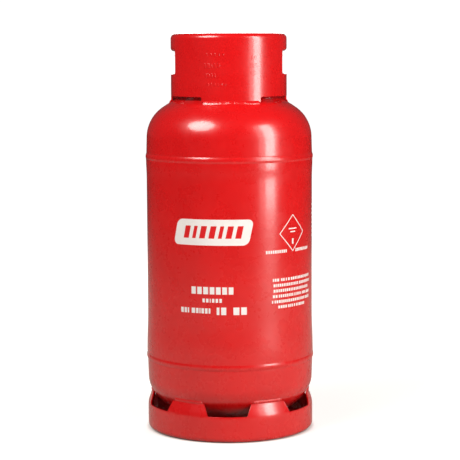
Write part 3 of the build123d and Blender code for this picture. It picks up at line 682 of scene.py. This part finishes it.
shroud_quads = grid_quads(len(shroud_r), len(columns), False, True)
width = np.append(columns, columns[0] + round_wall)
cell_x = np.tile((width[1:] + width[:-1]) / 2, len(shroud_r) - 1)
# cells of the rim lie over every opening
cell_z = np.repeat(np.append((heights[1:] + heights[:-1]) / 2, np.full(len(rim), np.inf)), len(columns))
open_cell = np.zeros(len(shroud_quads), bool)
for middle, half, bottom, top in openings:
    off = (cell_x - middle * per_degree + round_wall / 2) % round_wall - round_wall / 2
    open_cell |= (np.abs(off) < half) & (cell_z > bottom) & (cell_z < top)


def thick_sheet(skin, quads, depth, wrapped=True):
    """Closed shell from a grid of skin points and the quads kept of it. The inner skin lies depth behind the outer
    along the cross product of the grid's two directions, and every edge that only one quad has gets a side wall."""
    down = np.gradient(skin, axis=0)
    across = np.roll(skin, -1, 1) - np.roll(skin, 1, 1) if wrapped else np.gradient(skin, axis=1)
    normal = np.cross(across, down)
    normal /= np.linalg.norm(normal, axis=2, keepdims=True)
    outer = skin.reshape(-1, 3)
    inner = outer - depth * normal.reshape(-1, 3)
    sides = np.stack([quads, np.roll(quads, -1, 1)], -1).reshape(-1, 2)
    _, first, count = np.unique(np.sort(sides, 1), axis=0, return_index=True, return_counts=True)
    rim_sides = sides[first[count == 1]]
    n = len(outer)
    walls = np.stack([rim_sides[:, 1], rim_sides[:, 0], rim_sides[:, 0] + n, rim_sides[:, 1] + n], -1)
    points, shell = np.vstack([outer, inner]), np.vstack([quads, quads[:, ::-1] + n, walls])
    used, numbers = np.unique(shell, return_inverse=True)
    return points[used], numbers.reshape(shell.shape)


shroud = add_piece(
    "shroud_wall",
    *thick_sheet(around(shroud_r, shroud_z, shroud_x / per_degree), shroud_quads[~open_cell], SHROUD_SHEET),
    red_enamel, "red_enamel", stands_for=["valve_shroud"],
)
soften = shroud.modifiers.new("deburred_edges", "BEVEL")
soften.width, soften.segments, soften.limit_method, soften.angle_limit = 0.7 * MM, 2, "ANGLE", math.radians(50)

foot_beads = []
bead_z = upper_end_z(WALL) + 0.15
for foot in FEET_TURN + 360 / FEET * np.arange(FEET):
    arc = np.arange(foot - FOOT_HALF, foot + FOOT_HALF, 0.18)
    foot_beads.append(
        weld_bead(
            around(WALL + 0.02, bead_z + 4.0, arc), around(WALL + 4.0, upper_end_z(WALL + 4.0) + 0.1, arc),
            around(WALL + 0.02, bead_z + 0.1, arc), 0.5, ripple=0.12, wander=0.2,
        )
    )
add_piece(
    "shroud_foot_beads", *joined(foot_beads), red_enamel_on_weld, "red_enamel", stands_for=["shroud_foot_welds"]
)
add_piece(
    "shroud_seam_bead", *upright_bead(WALL, window[0], 735.0, WALL_TOP), red_enamel_on_weld, "red_enamel",
    stands_for=["shroud_seam_weld"],
)

# ---------------------------------------------------------------- valve
BOSS_COLUMNS, BOSS_R, BOSS_TOE_R = 560, 28.0, 35.2
boss_arc = np.arange(BOSS_COLUMNS) * 360 / BOSS_COLUMNS
add_piece(
    "boss_bead",
    *weld_bead(
        around(28.1, upper_end_z(BOSS_R) + 6.9, boss_arc), around(BOSS_TOE_R, upper_end_z(BOSS_TOE_R) + 0.15, boss_arc),
        around(28.1, upper_end_z(BOSS_R) + 0.2, boss_arc), 0.7, ripple=0.2, wander=0.2, closed=True,
    ),
    red_enamel_on_weld, "red_enamel", stands_for=["boss_weld"],
)

for names, material in (
    (["valve_body"], forged_brass),
    (["bonnet", "upper_spindle", "lower_spindle", "relief_cap", "relief_poppet"], turned_brass),
    (["handwheel_washer", "handwheel_nut", "relief_spring"], zinc_plate),
    (["handwheel"], black_nylon),
    (["relief_dust_cap"], waxy_cap),
    (["spindle_seals", "relief_disc"], nitrile),
    (["spindle_washer", "seat_pad"], ptfe),
    (["valve_boss"], red_enamel),
):
    for name in names:
        nodes[name].data.materials.clear()
        nodes[name].data.materials.append(material)


# ---------------------------------------------------------------- printed and stamped marks
def mark_plate(corners, middle_angle, middle_z, wall, lift, depth, across=8):
    """A thin closed plate on a round wall. Its four corners (along the skin, up) are joined by straight lines, and a
    point at shares (u, v) of it is the bilinear mix of the corners. It stands lift proud and is depth thick."""
    c = np.asarray(corners, float)
    u, v = np.linspace(0, 1, across)[None, :, None], np.linspace(0, 1, 3)[:, None, None]
    flat = (1 - v) * ((1 - u) * c[0] + u * c[1]) + v * ((1 - u) * c[3] + u * c[2])
    height = middle_z + flat[..., 1]
    radius = wall(height) + lift
    skin = around(radius, height, middle_angle + np.degrees(flat[..., 0] / wall(middle_z)))
    points, quads = thick_sheet(skin, grid_quads(*skin.shape[:2]), depth, False)
    return points, facing_out(points, quads)


def bar(left, right, bottom, top, slant=0.0):
    """Corners of an upright bar. slant leans it sideways by slant times its height."""
    return [
        (left + slant * bottom, bottom), (right + slant * bottom, bottom),
        (right + slant * top, top), (left + slant * top, top),
    ]


def stroke(start, end, width):
    """Corners of a straight stroke between two points."""
    start, end = np.array(start, float), np.array(end, float)
    side = np.array([end[1] - start[1], start[0] - end[0]]) / np.linalg.norm(end - start) * width / 2
    return [start + side, end + side, end - side, start - side]


def row_of_bars(widths, space, bottom, top, start, slant=0.0):
    """Bars of the given widths side by side from start, in place of the letters of a line."""
    lefts = start + np.concatenate([[0], np.cumsum(np.array(widths[:-1]) + space)])
    return [bar(left, left + width, bottom, top, slant) for left, width in zip(lefts, widths)]


INK, INK_LIFT = 0.1, 0.12


def printed(name, shapes, middle_angle, middle_z, material, lift=INK_LIFT):
    """One printed group on the barrel, as plates of ink."""
    shells = [mark_plate(corners, middle_angle, middle_z, barrel_r, lift, INK) for corners in shapes]
    add_piece(name, *joined(shells), material, "red_enamel")


def badge_skin(half_width, half_height, corner, slant, middle_angle, middle_z, lift, across=64):
    """An oblong with round corners as a grid on the barrel: at height z its half width is less by
    r - sqrt(r^2 - d^2), with d how far z lies inside the corner's height, and slant leans it."""
    z = np.sin(np.linspace(-math.pi / 2, math.pi / 2, 25)) * half_height
    d = np.clip(np.abs(z) - (half_height - corner), 0, corner)
    half = half_width - corner + np.sqrt(np.maximum(corner**2 - d**2, 0))
    x = half[:, None] * np.linspace(-1, 1, across) + slant * z[:, None]
    height = middle_z + np.repeat(z[:, None], across, 1)
    return around(barrel_r(height) + lift, height, middle_angle + np.degrees(x / BARREL))


BADGE_LEAN, BADGE_AT = 0.22, (-12.0, 395.0)
badge = badge_skin(74, 24, 11, BADGE_LEAN, *BADGE_AT, INK_LIFT)
add_piece("badge_field", *thick_sheet(badge, grid_quads(*badge.shape[:2]), INK, False), white_ink, "red_enamel")
printed(
    "badge_bars", row_of_bars([11, 7, 11, 11, 7, 11, 11], 7.0, -11, 12, -54, BADGE_LEAN), *BADGE_AT, red_ink, 0.16
)
LINES_ANGLE = -11.0
printed(
    "line_one", row_of_bars([8.8, 8.8, 9.4, 8.8, 8.8, 8.8, 8.8], 3.0, -6.8, 6.8, -43), LINES_ANGLE, 287.0, white_ink
)
printed("line_two", row_of_bars([4.6, 4.6, 1.8, 4.6, 4.6, 4.6], 2.4, -3.6, 3.6, -21), LINES_ANGLE, 268.5, white_ink)
printed(
    "line_three",
    row_of_bars([6.0, 4.8, 3.0], 1.9, -4.8, 4.8, -66) + row_of_bars([7.2, 4.8, 2.2, 5.0, 5.0, 3.4], 1.9, -4.8, 4.8, -43)
    + row_of_bars([5.0, 9.4], 3.4, -7.0, 7.0, 6) + row_of_bars([11, 10.6], 3.4, -7.0, 7.0, 37),
    LINES_ANGLE, 249.0, white_ink,
)
LOZENGE_ANGLE = 48.0
lozenge = [(0, 34), (33.5, 0), (0, -34), (-33.5, 0)]
sides = [stroke(a, b, 1.7) for a, b in zip(lozenge, lozenge[1:] + lozenge[:1])]
printed(
    "lozenge_outline",
    sides + [stroke((-11, 8), (11, 8), 2.2), stroke((-7, 2), (7, 2), 2.2), bar(-2.2, 2.2, -21, -11)],
    LOZENGE_ANGLE, 389.0, white_ink,
)
printed(
    "lozenge_sides",
    row_of_bars([3.6, 3.2] * 5, 1.5, -2.9, 2.9, -64) + row_of_bars([3.6, 3.2] * 5, 1.5, -2.9, 2.9, 8),
    LOZENGE_ANGLE, 356.0, white_ink,
)
# a block of six lines of small bars of random width, each line with its own start and end
SMALL_Z, SMALL_HALF = 277.5, 2.7
small_lines = []
for z, start, end in zip(np.linspace(303, 252, 6), (2, 2, 2, 2, 0, 14), (118, 118, 112, 118, 116, 96)):
    words = 2.6 + 2.0 * random.random(40)
    words[random.random(40) < 0.15] = 0.0
    lefts = start + np.cumsum(np.append(0, words[:-1] + 1.5))
    small_lines += [
        bar(left, left + word, z - SMALL_Z - SMALL_HALF, z - SMALL_Z + SMALL_HALF)
        for left, word in zip(lefts, words)
        if word > 0 and left + word < end
    ]
printed("small_lines", small_lines, 29.5, SMALL_Z, white_ink)
side_lines = [
    bar(0, length, z - 2.4, z + 2.4)
    for z, length in zip(np.linspace(30, -30, 8), (26, 30, 22, 30, 28, 18, 30, 24))
]
printed("side_lines", side_lines, 82.0, 404.0, white_ink)


def wall_r_at(height):
    """Radius of the shroud's wall, which is the same at every height."""
    return np.full_like(np.asarray(height, float), WALL)


def stamped(name, shapes, middle_angle, middle_z):
    """Marks pressed up from behind in the shroud's wall, under its enamel: bevelled plates half a millimetre high."""
    shells = [mark_plate(corners, middle_angle, middle_z, wall_r_at, 0.55, 0.8, 5) for corners in shapes]
    piece = add_piece(name, *joined(shells), red_enamel, "red_enamel", angle=30)
    soften = piece.modifiers.new("pressed_edges", "BEVEL")
    soften.width, soften.segments, soften.limit_method = 0.35 * MM, 2, "ANGLE"


STAMPS_Z = 700.0
stamped(
    "maker_stamps",
    row_of_bars([2.4, 4, 2.4, 4, 4], 3.2, -4.5, 4.5, -46) + row_of_bars([2.4, 2.4, 2.4, 2.4], 3.2, -22, -14, -44)
    + row_of_bars([2.2] * 6, 4.2, -38, -32, -40) + row_of_bars([2.2] * 5, 5.5, 18, 23, -42),
    0.0, STAMPS_Z,
)
stamped(
    "test_stamps",
    row_of_bars([3.4, 3.4, 3.4], 2.4, -3.6, 3.6, -8) + row_of_bars([3.4, 3.4], 2.4, -17, -10, -6)
    + row_of_bars([3.4, 3.4], 2.4, 11, 18, -5),
    25.0, STAMPS_Z,
)


# ---------------------------------------------------------------- floor, lights and camera
LIT_POINT = Vector((0, 0, 0.42))
LAMP_COLOUR = (1.0, 0.965, 0.93)


def soft_box(name, azimuth, elevation, distance, width, height, power, shape="RECTANGLE"):
    """An area light that faces LIT_POINT from an azimuth (0 is the front, positive towards +X) and elevation."""
    light = bpy.data.lights.new(name, "AREA")
    light.shape, light.size, light.size_y, light.energy = shape, width, height, power
    light.color = LAMP_COLOUR
    lamp = bpy.data.objects.new(name, light)
    a, e = math.radians(azimuth), math.radians(elevation)
    offset = Vector((math.sin(a) * math.cos(e), -math.cos(a) * math.cos(e), math.sin(e))) * distance
    lamp.location = LIT_POINT + offset
    lamp.rotation_euler = (-offset).to_track_quat("-Z", "Y").to_euler()
    bpy.context.scene.collection.objects.link(lamp)


floor_material, floor_tree, floor_shader = new_material("pale_paper_sweep")
floor_place = object_place(floor_tree)
fibre = add_node(floor_tree, "ShaderNodeTexNoise", {"Vector": floor_place}, Scale=300.0, Detail=2.0)
paper = add_node(floor_tree, "ShaderNodeValToRGB", {"Fac": fibre.outputs["Fac"]})
paper.color_ramp.elements[0].color, paper.color_ramp.elements[1].color = linear("#BEB8B0"), linear("#C4BEB6")
floor_tree.links.new(paper.outputs["Color"], floor_shader.inputs["Base Color"])
floor_shader.inputs["Roughness"].default_value = 0.9
floor_shader.inputs["Specular IOR Level"].default_value = 0.1
floor_shader.inputs["Emission Color"].default_value = linear("#FFFFFF")
# painted glow: the sweep glows for camera rays only, burnt out to white in the view, less so near the object, and
# lights the object only as paper does
floor_path = add_node(floor_tree, "ShaderNodeLightPath")
reach = add_node(floor_tree, "ShaderNodeVectorMath", {"Vector": floor_place}, operation="LENGTH")
painted_glow = add_node(
    floor_tree, "ShaderNodeMapRange", {"Value": reach.outputs["Value"]},
    From_Min=0.25, From_Max=2.2, To_Min=0.7, To_Max=1.02,
)
# no painted glow under the foot ring
under = add_node(floor_tree, "ShaderNodeMapRange", {"Value": reach.outputs["Value"]}, From_Min=0.152, From_Max=0.166)
painted_glow_outside_ring = add_node(
    floor_tree, "ShaderNodeMath", {0: painted_glow.outputs["Result"], 1: under.outputs["Result"]}, operation="MULTIPLY"
)
painted_glow_to_camera = add_node(
    floor_tree, "ShaderNodeMath",
    {0: painted_glow_outside_ring.outputs["Value"], 1: floor_path.outputs["Is Camera Ray"]}, operation="MULTIPLY",
)
# the painted glow drives the floor's emission strength
floor_tree.links.new(painted_glow_to_camera.outputs["Value"], floor_shader.inputs["Emission Strength"])
# clear from below, so that the underside can be looked at
side = add_node(floor_tree, "ShaderNodeNewGeometry")
clear = add_node(floor_tree, "ShaderNodeBsdfTransparent")
sheet_mix = add_node(
    floor_tree, "ShaderNodeMixShader",
    {0: side.outputs["Backfacing"], 1: floor_shader.outputs["BSDF"], 2: clear.outputs["BSDF"]},
)
floor_tree.links.new(sheet_mix.outputs["Shader"], floor_tree.nodes["Material Output"].inputs["Surface"])
# the sheet lies half a millimetre under the foot ring
FLOOR_HALF, FLOOR_HEIGHT = 30, -0.0005
floor_mesh = bpy.data.meshes.new("floor")
floor_mesh.from_pydata(
    [(x * FLOOR_HALF, y * FLOOR_HALF, FLOOR_HEIGHT) for x, y in ((-1, -1), (1, -1), (1, 1), (-1, 1))],
    [], [(0, 1, 2, 3)],
)
floor_mesh.materials.append(floor_material)
floor = bpy.data.objects.new("floor", floor_mesh)
bpy.context.scene.collection.objects.link(floor)

world = bpy.data.worlds.new("studio")
world.use_nodes = True
sky = world.node_tree
background = sky.nodes["Background"]
background.inputs["Color"].default_value = linear("#FFFFFF")
path = add_node(sky, "ShaderNodeLightPath")
# white where it is seen, and a dim fill where it only lights
strength = add_node(sky, "ShaderNodeMapRange", {"Value": path.outputs["Is Camera Ray"]}, To_Min=0.06, To_Max=1.1)
sky.links.new(strength.outputs["Result"], background.inputs["Strength"])
bpy.context.scene.world = world

soft_box("key_upper_left", -46, 43, 2.4, 1.4, 1.15, 50, "ELLIPSE")
soft_box("strip_right", 56.5, 18.7, 2.35, 0.6, 2.05, 38)
soft_box("strip_right_glow", 54, 18, 2.5, 1.3, 2.2, 20)
soft_box("back_fill", 180, 22, 2.8, 0.7, 1.4, 20)

CAMERA_AT, CAMERA_DIP, CAMERA_ROLL, LENS, SENSOR = (0.0009, -3.137, 0.738), 6.47, -0.28, 127.7, 36.0
camera_data = bpy.data.cameras.new("studio_camera")
camera_data.lens, camera_data.sensor_width = LENS, SENSOR
camera = bpy.data.objects.new("studio_camera", camera_data)
camera.matrix_world = (
    Matrix.Translation(CAMERA_AT)
    @ Matrix.Rotation(math.radians(90 - CAMERA_DIP), 4, "X")
    @ Matrix.Rotation(math.radians(CAMERA_ROLL), 4, "Z")
)
bpy.context.scene.collection.objects.link(camera)
bpy.context.scene.camera = camera
bpy.context.scene.view_settings.view_transform = "Standard"
